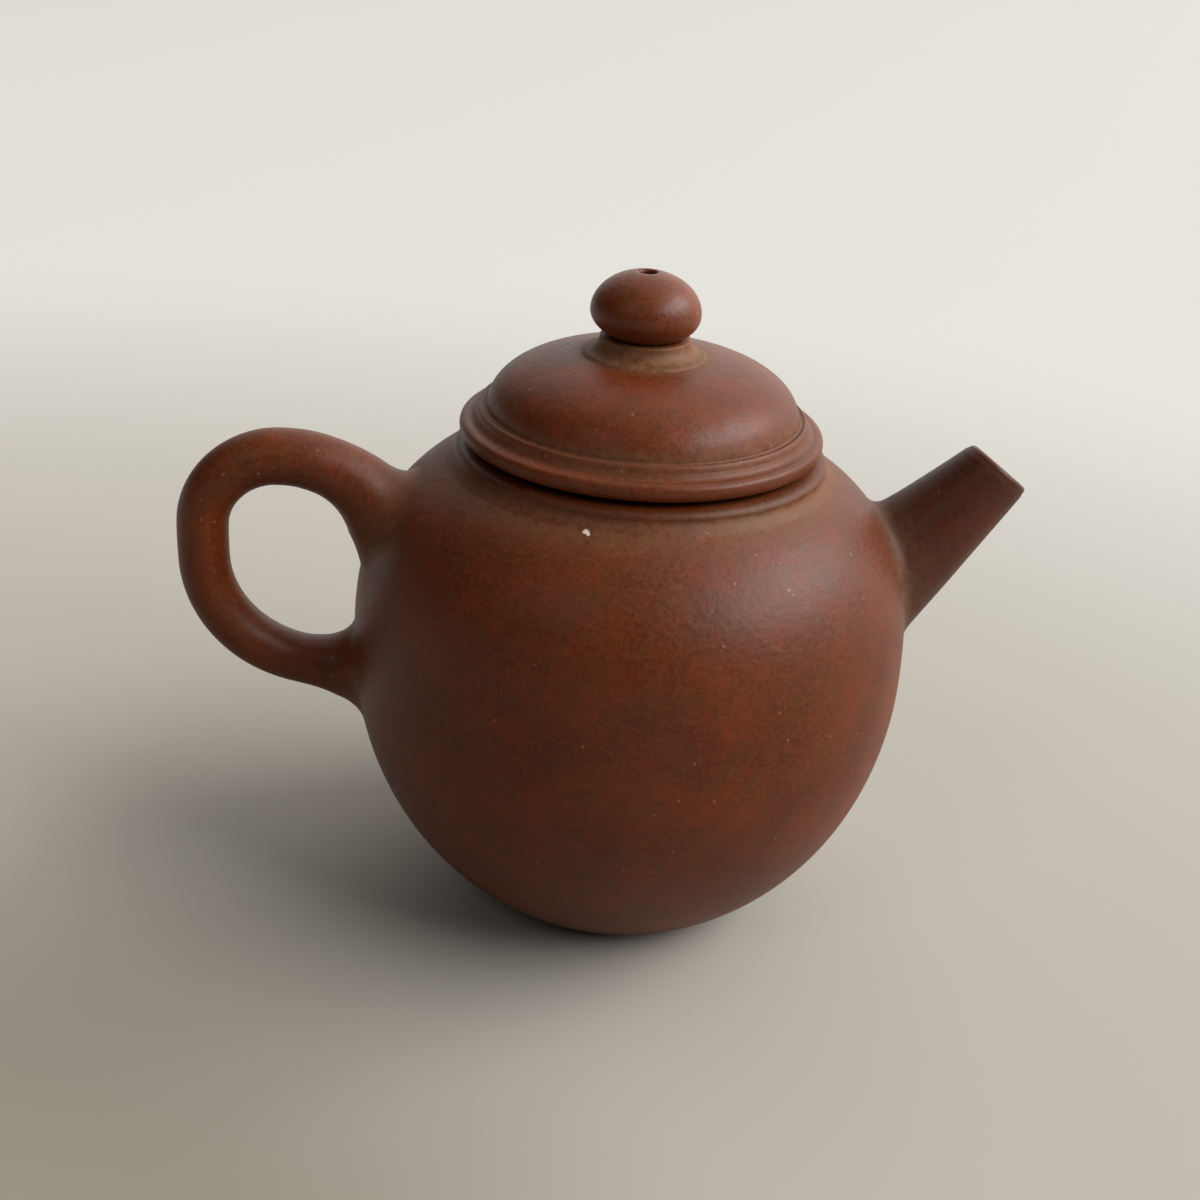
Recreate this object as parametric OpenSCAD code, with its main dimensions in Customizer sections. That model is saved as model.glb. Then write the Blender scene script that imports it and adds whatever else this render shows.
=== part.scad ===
// Small round teapot of fired zisha stoneware, built from clay slabs and rolls.
// Z is up, the origin is on the pot's axis at the plane it stands on,
// the spout points along +X and the handle along -X. Millimetres.

/* [Body] */
// Greatest outside diameter of the pot
body_d = 70; // [66:0.5:76]
// Height at which the pot is widest
widest_h = 34.5; // [32:0.5:37]
// Height of the shoulder, where the neck ring sits
shoulder_h = 60; // [58:0.5:64]
// Outside diameter of the foot
base_d = 31; // [27:0.5:35]
// Outside diameter of the shoulder under the neck ring
neck_d = 45.4; // [44.6:0.2:46.6]
// Squareness of the shoulder curve (2 is an ellipse)
shoulder_power = 2.7; // [2.4:0.1:3]
// Thickness of the clay wall
wall_t = 2.6; // [2.2:0.1:3]
// Height of the chamber floor above the table
floor_h = 3; // [2.4:0.1:4]
// Diameter of the base disc
base_disc_d = 26.6; // [22:0.2:26.8]
// How far the base disc is pressed in above the table
base_recess = 0.4; // [0.2:0.1:1]

/* [Mouth] */
// Diameter of the mouth
mouth_d = 38; // [37:0.2:39]
// Height of the closing disc that makes the top of the shoulder
mouth_disc_h = 3; // [2.4:0.1:3.6]
// Outside diameter of the neck ring
ring_d = 45.6; // [45.2:0.2:47]
// Height of the neck ring
ring_h = 2; // [1.4:0.1:3]

/* [Lid] */
// Outside diameter of the rolled lip
lip_d = 44.4; // [43.6:0.2:46]
// Height of the lip's edge above the neck ring
lip_edge_h = 2; // [1.6:0.1:2.6]
// Rise of the lip above its edge
lip_rise = 1; // [0.6:0.1:1.4]
// How far the lip's edge stands out over its foot
lip_overhang = 1.4; // [1:0.1:1.8]
// Diameter of the step above the lip
step_d = 40.6; // [40:0.2:42]
// Height of the step
step_h = 1.3; // [0.8:0.1:2]
// Diameter of the dome at its foot
dome_d = 38.2; // [38:0.2:39.6]
// Rise of the dome
dome_h = 7.2; // [6:0.1:10]
// Squareness of the dome's curve (2 is an ellipse)
dome_power = 2.5; // [2:0.1:3]
// Angle on the dome's curve at which it meets the step
dome_foot_angle = 5; // [1:1:12]
// Thickness of the lid's dome
dome_t = 2; // [1.8:0.1:2.6]
// Depth of the grooves round the step
groove_depth = 0.4; // [0.3:0.1:0.6]
// How far the flange reaches down into the mouth
flange_h = 6; // [4:0.5:8]
// Thickness of the flange
flange_t = 1.8; // [1.4:0.1:2.4]
// Gap between the flange and the mouth on each side
lid_clearance = 0.35; // [0.3:0.05:0.6]

/* [Knob] */
// Diameter of the knob
knob_d = 13.3; // [12:0.1:15]
// Height of the knob above its widest line
knob_top_h = 4.9; // [4:0.1:6]
// Depth of the knob below its widest line
knob_low_h = 3.8; // [3.2:0.1:4.6]
// Diameter of the flat on which the knob stands
knob_seat_d = 8.2; // [7:0.1:9]
// Diameter of the collar at its foot, on the dome
collar_d = 14.8; // [13.4:0.1:17]
// Diameter of the collar at its top, under the knob
collar_top_d = 11; // [9.6:0.1:12]
// Height of the collar above the top of the dome
collar_h = 1.8; // [1:0.1:2.6]
// Thickness of the collar's edge on the dome
collar_edge = 0.25; // [0.1:0.05:0.5]
// How far the collar's side is hollowed
collar_hollow = 0.4; // [0.1:0.05:0.6]
// Diameter of the steam hole
steam_hole_d = 2; // [1.6:0.1:2.6]

/* [Spout] */
// Distance from the pot's axis to the middle of the spout's end
spout_reach = 46; // [44:0.2:49]
// Height of the middle of the spout's end
spout_tip_h = 59.3; // [58:0.1:62]
// Angle of the spout above level
spout_angle = 45; // [42:0.5:48]
// Outside diameter of the spout at its end
spout_tip_d = 8.8; // [8.2:0.1:10]
// Angle between the spout's side and its axis
spout_taper = 9.5; // [8:0.1:11]
// How far the end is cut flatter than square to the spout
tip_tilt = 7; // [4:0.5:9]
// Width of the pared edge round the end
tip_bevel = 0.7; // [0.4:0.1:1]
// Diameter of the pouring hole at the end
spout_bore_d = 5.4; // [4.6:0.1:6]
// Angle between the pouring hole's side and the spout's axis
bore_taper = 9; // [7:0.1:9.5]
// Diameter of each strainer hole in the wall behind the spout
strainer_d = 2.2; // [1.6:0.1:2.6]
// Distance between the strainer holes
strainer_pitch = 3.5; // [3.1:0.1:3.8]

/* [Handle] */
// Thickness of the handle at its back, seen from the side
handle_t = 6.4; // [6:0.1:7.2]
// Thickness of the handle where the upper arm starts
arm_t = 7; // [6.4:0.1:7.6]
// Width of the handle for each millimetre of its thickness
handle_width_ratio = 1.08; // [1:0.02:1.2]
// Distance from the pot's axis to the centre line of the handle's back
handle_reach = 53.3; // [51:0.1:56]
// Height of the handle's centre line at its top
handle_top_h = 59.3; // [57:0.1:61]
// Radius of the tight bend at the top of the back
crown_r = 9.4; // [8.4:0.1:10.4]
// Length of the upright stretch of the back
back_l = 3.7; // [2.8:0.1:4.6]
// Radius of the wide bend below
sweep_r = 14.5; // [13.6:0.1:15.4]
// Radius of the bend that comes down to the shoulder
arm_r = 14.4; // [13.4:0.1:15.4]
// Slope of the lower root, down towards the pot
lower_root_slope = 6; // [0:1:12]
// How much thicker the upper root is where it meets the pot
upper_root_spread = 2.8; // [1.6:0.2:4]
// How much thicker the lower root is where it meets the pot
lower_root_spread = 3.6; // [2:0.2:5]
// Distance from the pot at which the upper root starts to spread
upper_root_l = 13; // [9:0.5:15]
// Distance from the pot at which the lower root starts to spread
lower_root_l = 7.5; // [5:0.5:10]

/* [Hidden] */
$fn = 96;
eps = 0.01;
clay = "#6b3321";
lid_clay = "#743b28";

// Body curve: a half ellipse below the widest line, a squarer curve above it.
body_r = body_d / 2;
low_b = widest_h / sqrt(1 - pow(base_d / body_d, 2));
top_b = (shoulder_h - widest_h) / pow(1 - pow(neck_d / body_d, shoulder_power), 1 / shoulder_power);
function curve_r(z, a, b_low, b_top) =
    z < widest_h
        ? a * sqrt(max(0, 1 - pow((widest_h - z) / b_low, 2)))
        : a * pow(max(0, 1 - pow((z - widest_h) / b_top, shoulder_power)), 1 / shoulder_power);
function outer_r(z) = curve_r(z, body_r, low_b, top_b);
function inner_r(z) = curve_r(z, body_r - wall_t, low_b - wall_t, top_b - wall_t);
function between(from, to, steps) = [for (i = [0:steps]) from + (to - from) * i / steps];

seat_h = shoulder_h + ring_h;
wall_top_h = shoulder_h - mouth_disc_h;
ceiling_h = shoulder_h - wall_t;
ceiling_r = mouth_d / 2;
flange_r = mouth_d / 2 - lid_clearance;
lid_bore_r = flange_r - flange_t;
ridge_h = seat_h + lip_edge_h;
step_base_h = ridge_h + lip_rise;
dome_base_h = step_base_h + step_h;
dome_top_h = dome_base_h + dome_h;
knob_base_h = dome_top_h + collar_h;

// ---- Pot ----

// The outer shape of the pot, solid through.
module body_form() {
    rotate_extrude()
        polygon(concat([[0, 0]],
                       [for (z = between(0, shoulder_h, 40)) [outer_r(z), z]],
                       [[0, shoulder_h]]));
}

// The tea chamber under the shoulder.
module chamber() {
    rotate_extrude()
        polygon(concat([[0, floor_h]],
                       [for (z = between(floor_h, ceiling_h, 30)) [max(ceiling_r, inner_r(z)), z]],
                       [[0, ceiling_h]]));
}

// Seven round holes, drilled level through the wall where the spout's axis meets it.
module strainer_holes() {
    hit = spout_hit();
    drill_l = 6 * wall_t;
    translate([hit[0], 0, hit[1]])
        rotate([0, 90, 0]) {
            cylinder(h = drill_l, d = strainer_d, center = true, $fn = 24);
            for (a = [0:60:300])
                rotate([0, 0, a])
                    translate([strainer_pitch, 0, 0])
                        cylinder(h = drill_l, d = strainer_d, center = true, $fn = 24);
        }
}

// Beaten slab that forms the side of the pot, open at both ends.
module body_wall() {
    color(clay)
        difference() {
            intersection() {
                body_form();
                cylinder(h = wall_top_h, r = body_r + 1);
            }
            chamber();
            translate([0, 0, -eps])
                cylinder(h = floor_h + 2 * eps, d = base_disc_d);
            strainer_holes();
        }
}

// Disc that closes the bottom, pressed in a little so the pot stands on its edge.
module base_disc() {
    color(clay)
        translate([0, 0, base_recess])
            cylinder(h = floor_h - base_recess, d = base_disc_d);
}

// Disc that closes the top, with the mouth cut out of it.
module mouth_disc() {
    color(clay)
        difference() {
            intersection() {
                body_form();
                translate([0, 0, wall_top_h])
                    cylinder(h = mouth_disc_h, r = body_r);
            }
            chamber();
            translate([0, 0, wall_top_h - 1])
                cylinder(h = mouth_disc_h + 2, d = mouth_d);
        }
}

// Raised ring round the mouth that carries the lid.
module neck_ring() {
    edge_r = ring_h / 2;
    color(clay)
        rotate_extrude()
            polygon(concat([[mouth_d / 2, shoulder_h]],
                           [for (a = between(-90, 90, 12))
                               [ring_d / 2 - edge_r + edge_r * cos(a),
                                shoulder_h + edge_r + edge_r * sin(a)]],
                           [[mouth_d / 2, seat_h]]));
}

// ---- Spout ----

// Where the spout's axis meets the outside of the wall: [distance from axis, height].
function spout_at(s) = [spout_reach - s * cos(spout_angle), spout_tip_h - s * sin(spout_angle)];
function find_hit(s) = spout_at(s)[0] <= outer_r(spout_at(s)[1]) ? s : find_hit(s + 0.1);
function spout_hit() = spout_at(find_hit(0));
// The raw cone runs on past the wall, so that its root reaches the pot all round.
spout_run_in = 12;
spout_l = find_hit(0) + spout_run_in;

// Lays a form that is drawn down from its end face along the spout's axis.
module along_spout(tilt = 0) {
    translate([spout_reach, 0, spout_tip_h])
        rotate([0, 90 - spout_angle - tilt, 0])
            children();
}

// Tapered tube luted over the strainer, pared to a flat end.
module spout() {
    color(clay)
        difference() {
            intersection() {
                along_spout()
                    translate([0, 0, -spout_l])
                        cylinder(h = spout_l + 2,
                                 r1 = spout_tip_d / 2 + spout_l * tan(spout_taper),
                                 r2 = spout_tip_d / 2 - 2 * tan(spout_taper));
                along_spout(tip_tilt)
                    translate([0, 0, -1.5 * spout_l])
                        cylinder(h = 1.5 * spout_l,
                                 r1 = spout_tip_d / 2 - tip_bevel + 1.5 * spout_l,
                                 r2 = spout_tip_d / 2 - tip_bevel);
            }
            along_spout()
                translate([0, 0, -spout_l])
                    cylinder(h = spout_l + 3,
                             r1 = spout_bore_d / 2 + spout_l * tan(bore_taper),
                             r2 = spout_bore_d / 2 - 3 * tan(bore_taper));
            body_form();
        }
}

// ---- Handle ----

back_x = -handle_reach;
crown_h = handle_top_h - crown_r;
crown_x = back_x + crown_r;
sweep_x = back_x + sweep_r;
sweep_h = crown_h - back_l;
sweep_end = 270 - lower_root_slope;
// Angles of the arm's bend where the centre line starts, inside the pot, and meets the crown.
arm_from = 18;
arm_to = 84;
// The lower root runs on this far past its bend, to end inside the wall.
lower_run_in = 8;
ring_sides = 24;

// Centre line from inside the shoulder, over the top and back to inside the side of
// the pot. Each point is [x, z, direction, thickness before the roots spread].
function arc_points(x, z, r, from, to, t0, t1, steps) =
    [for (i = [0:steps])
        let (a = from + (to - from) * i / steps)
        [x + r * cos(a), z + r * sin(a), a + 90, t0 + (t1 - t0) * i / steps]];
handle_line = concat(
    arc_points(crown_x, handle_top_h - arm_r, arm_r, arm_from, arm_to, arm_t, arm_t, 12),
    arc_points(crown_x, crown_h, crown_r, 90, 180, arm_t, handle_t, 14),
    arc_points(sweep_x, sweep_h, sweep_r, 180, sweep_end, handle_t, handle_t, 14),
    [for (d = between(lower_run_in / 4, lower_run_in, 3))
        [sweep_x + sweep_r * cos(sweep_end) + d * cos(lower_root_slope),
         sweep_h + sweep_r * sin(sweep_end) - d * sin(lower_root_slope),
         sweep_end + 90, handle_t]]);

// Extra thickness near the pot, in a hollow curve that is widest at the wall.
function spread(p) =
    let (gap = max(0, -p[0] - outer_r(p[1])))
    p[1] > widest_h
        ? upper_root_spread * pow(max(0, 1 - gap / upper_root_l), 2)
        : lower_root_spread * pow(max(0, 1 - gap / lower_root_l), 2);

// Oval ring round a point of the centre line, square to its direction.
function handle_ring(p) =
    let (r = (p[3] + spread(p)) / 2)
    [for (i = [0:ring_sides - 1])
        let (a = 360 * i / ring_sides, side = p[2] - 90)
        [p[0] + r * cos(a) * cos(side), r * handle_width_ratio * sin(a),
         p[1] + r * cos(a) * sin(side)]];

// Roll of clay bent to a loop, with both ends spread and smoothed onto the pot.
module handle() {
    last = len(handle_line) - 1;
    color(clay)
        difference() {
            polyhedron(
                points = [for (p = handle_line) each handle_ring(p)],
                faces = concat(
                    [[for (i = [0:ring_sides - 1]) i]],
                    [for (k = [0:last - 1], i = [0:ring_sides - 1])
                        let (a = k * ring_sides, j = (i + 1) % ring_sides)
                        [a + i, a + ring_sides + i, a + ring_sides + j, a + j]],
                    [[for (i = [ring_sides - 1:-1:0]) last * ring_sides + i]]));
            body_form();
        }
}

// ---- Lid ----

// Rolled lip with a stepped ring above it, the part that rests on the neck ring.
module lid_rim() {
    roll_r = lip_d / 2 - lip_overhang;
    color(lid_clay)
        rotate_extrude()
            polygon(concat([[lid_bore_r, seat_h]],
                           [for (a = between(-90, 90, 16))
                               [roll_r + lip_overhang * cos(a),
                                ridge_h + (a < 0 ? lip_edge_h : lip_rise) * sin(a)]],
                           [[step_d / 2, step_base_h - groove_depth / 2],
                            [step_d / 2 - groove_depth, step_base_h],
                            [step_d / 2, step_base_h + groove_depth / 2],
                            [step_d / 2, dome_base_h - groove_depth],
                            [step_d / 2 - groove_depth, dome_base_h],
                            [lid_bore_r, dome_base_h]]));
}

// Ring under the lid that drops into the mouth and keeps the lid from sliding.
module lid_flange() {
    color(lid_clay)
        translate([0, 0, seat_h - flange_h])
            difference() {
                cylinder(h = flange_h, r = flange_r);
                translate([0, 0, -1])
                    cylinder(h = flange_h + 2, r = lid_bore_r);
            }
}

// Rise of the dome's curve, as a share, at a share of its radius.
dome_foot = cos(dome_foot_angle);
function dome_arch(t) = pow(1 - pow(t * dome_foot, dome_power), 1 / dome_power);
function dome_share(t) = (dome_arch(t) - dome_arch(1)) / (1 - dome_arch(1));
// Points of a dome from its foot to its top, closer together near the foot.
function dome_curve(r, h, steps) =
    [for (a = between(0, 90, steps)) [r * cos(a), dome_base_h + h * dome_share(cos(a))]];
// Height of the dome's outer surface at a distance from the axis.
function dome_z(r) = dome_base_h + dome_h * dome_share(2 * r / dome_d);

// The outer shape of the dome, solid through.
module dome_form() {
    rotate_extrude()
        polygon(concat([[0, dome_base_h]], dome_curve(dome_d / 2, dome_h, 24)));
}

module steam_hole() {
    translate([0, 0, dome_base_h - 1])
        cylinder(h = dome_h + collar_h + knob_low_h + knob_top_h + 2, d = steam_hole_d, $fn = 32);
}

// Pressed dome of the lid, hollow underneath.
module lid_dome() {
    color(lid_clay)
        difference() {
            dome_form();
            rotate_extrude()
                polygon(concat([[0, dome_base_h - 1], [dome_d / 2 - dome_t, dome_base_h - 1]],
                               dome_curve(dome_d / 2 - dome_t, dome_h - dome_t, 20)));
            steam_hole();
        }
}

// Point of the collar's hollow side, from its edge on the dome (0) to its top (1).
function collar_side(t) =
    let (edge_h = dome_z(collar_d / 2) + collar_edge, dip = 4 * collar_hollow * t * (1 - t))
    [collar_d / 2 + (collar_top_d - collar_d) / 2 * t - dip, edge_h + (knob_base_h - edge_h) * t - dip];

// Tapered collar with a hollow side that stands on the dome and carries the knob.
module knob_collar() {
    color(lid_clay)
        difference() {
            rotate_extrude()
                polygon(concat([[0, dome_base_h], [collar_d / 2, dome_base_h]],
                               [for (t = between(0, 1, 8)) collar_side(t)],
                               [[0, knob_base_h]]));
            dome_form();
            steam_hole();
        }
}

// Flattened ball that lifts the lid, pierced by the steam hole.
module knob() {
    rise = knob_low_h * sqrt(1 - pow(knob_seat_d / knob_d, 2));
    mid_h = knob_base_h + rise;
    seat_a = acos(knob_seat_d / knob_d);
    color(lid_clay)
        difference() {
            rotate_extrude()
                polygon(concat([[0, knob_base_h]],
                               [for (a = between(-seat_a, 90, 24))
                                   [knob_d / 2 * cos(a),
                                    mid_h + (a < 0 ? knob_low_h : knob_top_h) * sin(a)]]));
            steam_hole();
        }
}

body_wall();
base_disc();
mouth_disc();
neck_ring();
spout();
handle();
lid_rim();
lid_flange();
lid_dome();
knob_collar();
knob();
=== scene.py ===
import math

import bmesh
import bpy
from mathutils import Matrix, Vector, kdtree, noise


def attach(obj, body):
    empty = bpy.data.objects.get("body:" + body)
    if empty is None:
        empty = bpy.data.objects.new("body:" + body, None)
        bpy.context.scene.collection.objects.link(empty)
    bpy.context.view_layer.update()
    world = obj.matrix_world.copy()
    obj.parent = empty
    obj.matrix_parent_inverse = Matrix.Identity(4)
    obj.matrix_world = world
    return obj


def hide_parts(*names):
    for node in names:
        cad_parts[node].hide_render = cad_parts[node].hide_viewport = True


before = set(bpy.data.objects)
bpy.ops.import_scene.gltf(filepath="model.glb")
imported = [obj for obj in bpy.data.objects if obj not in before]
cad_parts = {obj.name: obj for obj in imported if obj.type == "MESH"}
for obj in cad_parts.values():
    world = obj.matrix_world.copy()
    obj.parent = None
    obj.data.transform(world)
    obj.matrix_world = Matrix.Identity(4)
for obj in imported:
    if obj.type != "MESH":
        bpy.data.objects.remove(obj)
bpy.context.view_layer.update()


# ---------------------------------------------------------------- Side of the pot
# A slab of zisha clay beaten round into a globe, with the mouth disc luted into its
# top. Slip fills the joint, which is scraped and burnished until the two read as one
# skin; the strainer is pierced through the wall while the clay is leather hard.
MM = 0.001  # the sizes in this file are in millimetres
BODY_R, WIDEST_H, SHOULDER_H, FOOT_R, NECK_R, SHOULDER_POWER = 34.98, 34.5, 60.0, 15.5, 22.7, 2.7
WALL_T, FLOOR_H, BASE_R, MOUTH_R = 2.6, 3.0, 13.3, 19.0
LOW_B = WIDEST_H / math.sqrt(1 - (FOOT_R / BODY_R) ** 2)
TOP_B = (SHOULDER_H - WIDEST_H) / (1 - (NECK_R / BODY_R) ** SHOULDER_POWER) ** (1 / SHOULDER_POWER)


def side_r(z, inward=0.0):
    """Radius of the pot's side at a height: a half ellipse below, a squarer curve above."""
    if z < WIDEST_H:
        return (BODY_R - inward) * math.sqrt(max(0, 1 - ((WIDEST_H - z) / (LOW_B - inward)) ** 2))
    rise = (z - WIDEST_H) / (TOP_B - inward)
    return (BODY_R - inward) * max(0, 1 - rise ** SHOULDER_POWER) ** (1 / SHOULDER_POWER)


def between(start, end, count):
    """Even steps from start to end, both included."""
    return [start + (end - start) * i / count for i in range(count + 1)]


def bend(r, z, radius, start, end, count):
    """Points of an arc round (r, z), from one angle to another in degrees."""
    return [(r + radius * math.cos(math.radians(a)), z + radius * math.sin(math.radians(a)))
            for a in between(start, end, count)]


def turn(outline, sides=192, closed=True):
    """Spins an outline of (radius, height) points once round the pot's axis."""
    form = bmesh.new()
    chain = [form.verts.new((r, 0, z)) for r, z in outline]
    following = chain[1:] + chain[:1] if closed else chain[1:]
    edges = [form.edges.new(pair) for pair in zip(chain, following)]
    bmesh.ops.spin(form, geom=chain + edges, cent=(0, 0, 0), axis=(0, 0, 1), angle=2 * math.pi,
                   steps=sides, use_merge=True)
    bmesh.ops.remove_doubles(form, verts=form.verts, dist=0.0005)
    return form


def hand_made(form, depth, size, seed):
    """Moves the surface by the small swells and hollows that hands and paddle leave."""
    for v in form.verts:
        swell = noise.noise(v.co / size + Vector((seed, seed, seed)))
        flat = Vector((v.co.x, v.co.y, 0))
        if flat.length > 0.01:
            v.co += flat.normalized() * swell * depth


def share(value, start, end):
    """How far a value has come from start to end, held between 0 and 1."""
    return max(0, min(1, (value - start) / (end - start)))


SINK, SINK_SHIFT, SEAT_D = 0.48, 0.25, 44.0
SINK_START_H, SINK_FULL_H, SINK_NONE_R, SINK_FULL_R = 38.0, 60.0, 42.0, 34.0


def dry(form):
    """Shapes every piece of the pot alike: hand swells, and a top that sank a little on the
    spout side as it dried, so the pieces still meet."""
    hand_made(form, depth=0.10, size=21, seed=3.1)
    for v in form.verts:
        r = math.hypot(v.co.x, v.co.y)
        sunk = share(v.co.z, SINK_START_H, SINK_FULL_H) ** 1.5 * share(r, SINK_NONE_R, SINK_FULL_R)
        v.co.z -= SINK * sunk * max(0, min(1.25, 0.5 + v.co.x / SEAT_D))
        v.co.x += SINK_SHIFT * sunk * share(r, MOUTH_R + 0.5, MOUTH_R + 2.5)


def settle(name, form, body, nodes, finish):
    """Makes the finished piece, smooth, in metres, riding on its body in place of its nodes."""
    bmesh.ops.recalc_face_normals(form, faces=form.faces)
    bmesh.ops.scale(form, vec=(MM, MM, MM), verts=form.verts)
    for face in form.faces:
        face.smooth = True
    mesh = bpy.data.meshes.new(name)
    form.to_mesh(mesh)
    form.free()
    for layer in ("dust", "wear_and_highlight", "stain_and_shade"):
        mesh.attributes.new(layer, "FLOAT", "POINT")
    piece = bpy.data.objects.new(name, mesh)
    bpy.context.scene.collection.objects.link(piece)
    mesh.materials.append(finish)
    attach(piece, body)
    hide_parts(*nodes)
    return piece


def mark(piece, layer, spots, reach, amount=1.0):
    """Raises one layer of the surface near some points, fading over a reach; the layers are dust, wear with
    painted highlight, and stain with painted shade.
    """
    tree = kdtree.KDTree(len(spots))
    for i, spot in enumerate(spots):
        tree.insert(Vector(spot) * MM, i)
    tree.balance()
    values = piece.data.attributes[layer].data
    for v in piece.data.vertices:
        near = tree.find(v.co)[2] / MM
        if near < 3 * reach:
            values[v.index].value = max(values[v.index].value, amount * math.exp(-(near / reach) ** 2))


def ring_of(r, z, count=180):
    """Points round the axis, which say where a crease runs."""
    return [(r * math.cos(a), r * math.sin(a), z) for a in between(0, 2 * math.pi, count)]


def linear(hex_colour):
    """Turns an sRGB hex colour into the linear colour that a shader takes."""
    parts = [int(hex_colour[i:i + 2], 16) / 255 for i in (1, 3, 5)]
    return [c / 12.92 if c <= 0.04045 else ((c + 0.055) / 1.055) ** 2.4 for c in parts] + [1.0]


def add(tree, kind, links, **settings):
    """Adds a shader node; links gives each input a value or the socket it comes from."""
    new = tree.nodes.new("ShaderNode" + kind)
    for key, value in settings.items():
        setattr(new, key, value)
    for key, value in links.items():
        if isinstance(value, bpy.types.NodeSocket):
            tree.links.new(value, new.inputs[key])
        else:
            new.inputs[key].default_value = value
    return new


def zisha(name, clay, deep, light, olive, roughness, swell=0.10, spots=()):
    """Unglazed zisha stoneware: iron-red clay full of fine quartz and mica grit, scraped and
    burnished, then polished by years of hands and tea. It gives a satin sheen over a mottle of
    red and olive brown, a few pale sand grains, pin pits, and dull dust left in the creases.
    Each of the spots is a chip, scuff or pit: its colour, place and radius in mm, and strength."""
    finish = bpy.data.materials.new(name)
    finish.use_nodes = True
    tree = finish.node_tree
    tree.nodes.clear()
    place = add(tree, "TexCoord", {}).outputs["Object"]
    mm = add(tree, "Mapping", {"Vector": place, "Scale": (1000, 1000, 1000)}).outputs["Vector"]
    # Firing clouds about 9 mm across.
    cloud = add(tree, "TexNoise", {"Vector": mm, "Scale": 0.11, "Detail": 3.0, "Roughness": 0.6})
    cloud = add(tree, "MapRange", {"Value": cloud.outputs["Fac"], "From Min": 0.35, "From Max": 0.65})
    colour = add(tree, "Mix", {"Factor": cloud.outputs["Result"], "A": linear(deep), "B": linear(clay)},
                 data_type="RGBA")
    # Olive patches 1 to 4 mm across, where tea has soaked in.
    soaked = add(tree, "TexNoise", {"Vector": mm, "Scale": 0.34, "Detail": 7.0, "Roughness": 0.74})
    soaked = add(tree, "MapRange", {"Value": soaked.outputs["Fac"], "From Min": 0.40, "From Max": 0.60,
                                    "To Max": 0.75})
    colour = add(tree, "Mix", {"Factor": soaked.outputs["Result"], "A": colour.outputs["Result"],
                               "B": linear(olive)}, data_type="RGBA")
    # Level strokes of the burnishing tool, about 0.7 mm high and 2 mm long.
    level = add(tree, "Mapping", {"Vector": place, "Scale": (560, 560, 1450)}).outputs["Vector"]
    stroke = add(tree, "TexNoise", {"Vector": level, "Scale": 1.0, "Detail": 4.0, "Roughness": 0.6})
    stroke = add(tree, "MapRange", {"Value": stroke.outputs["Fac"], "From Min": 0.40,
                                    "From Max": 0.66}).outputs["Result"]
    # Grit of the clay, 0.2 to 0.5 mm, drawn a little coarser than the real 60 mesh so that it shows.
    grit = add(tree, "TexNoise", {"Vector": mm, "Scale": 1.9, "Detail": 5.0, "Roughness": 0.72})
    grit = add(tree, "MapRange", {"Value": grit.outputs["Fac"], "From Min": 0.38,
                                  "From Max": 0.66}).outputs["Result"]
    paler = add(tree, "Math", {0: grit, 1: 0.36}, operation="MULTIPLY").outputs["Value"]
    paler = add(tree, "Math", {0: stroke, 1: 0.10, 2: paler}, operation="MULTIPLY_ADD").outputs["Value"]
    colour = add(tree, "Mix", {"Factor": paler, "A": colour.outputs["Result"], "B": linear(light)},
                 data_type="RGBA")
    # Pale sand grains about 0.25 mm wide, one in eight of the 1.4 mm cells.
    cells = add(tree, "TexVoronoi", {"Vector": mm, "Scale": 0.72, "Randomness": 1.0})
    chosen = add(tree, "SeparateColor", {"Color": cells.outputs["Color"]}).outputs["Red"]
    chosen = add(tree, "Math", {0: chosen, 1: 0.88}, operation="GREATER_THAN").outputs["Value"]
    grain = add(tree, "MapRange", {"Value": cells.outputs["Distance"], "From Min": 0.14, "From Max": 0.06,
                                   "To Min": 0.0, "To Max": 0.42}).outputs["Result"]
    grain = add(tree, "Math", {0: grain, 1: chosen}, operation="MULTIPLY").outputs["Value"]
    colour = add(tree, "Mix", {"Factor": grain, "A": colour.outputs["Result"], "B": linear("#a8805a")},
                 data_type="RGBA")
    # Pin pits left by burnt-out grit, about 0.3 mm, one in sixteen of the 2.4 mm cells.
    hollows = add(tree, "TexVoronoi", {"Vector": mm, "Scale": 0.42, "Randomness": 1.0})
    empty = add(tree, "SeparateColor", {"Color": hollows.outputs["Color"]}).outputs["Green"]
    empty = add(tree, "Math", {0: empty, 1: 0.94}, operation="GREATER_THAN").outputs["Value"]
    pit = add(tree, "MapRange", {"Value": hollows.outputs["Distance"], "From Min": 0.09,
                                 "From Max": 0.04}).outputs["Result"]
    pit = add(tree, "Math", {0: pit, 1: empty}, operation="MULTIPLY").outputs["Value"]
    colour = add(tree, "Mix", {"Factor": pit, "A": colour.outputs["Result"], "B": linear("#3a180c")},
                 data_type="RGBA")
    # Dull olive tea dust in the creases, broken up by the grit.
    dust = add(tree, "Attribute", {}, attribute_name="dust").outputs["Fac"]
    patch = add(tree, "TexNoise", {"Vector": mm, "Scale": 0.8, "Detail": 6.0, "Roughness": 0.75})
    patch = add(tree, "MapRange", {"Value": patch.outputs["Fac"], "From Min": 0.36, "From Max": 0.60,
                                   "To Min": 0.15}).outputs["Result"]
    dusty = add(tree, "Math", {0: dust, 1: patch}, operation="MULTIPLY").outputs["Value"]
    dusty = add(tree, "Math", {0: dusty, 1: 0.85}, operation="MULTIPLY", use_clamp=True).outputs["Value"]
    colour = add(tree, "Mix", {"Factor": dusty, "A": colour.outputs["Result"], "B": linear("#77583a")},
                 data_type="RGBA")
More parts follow.
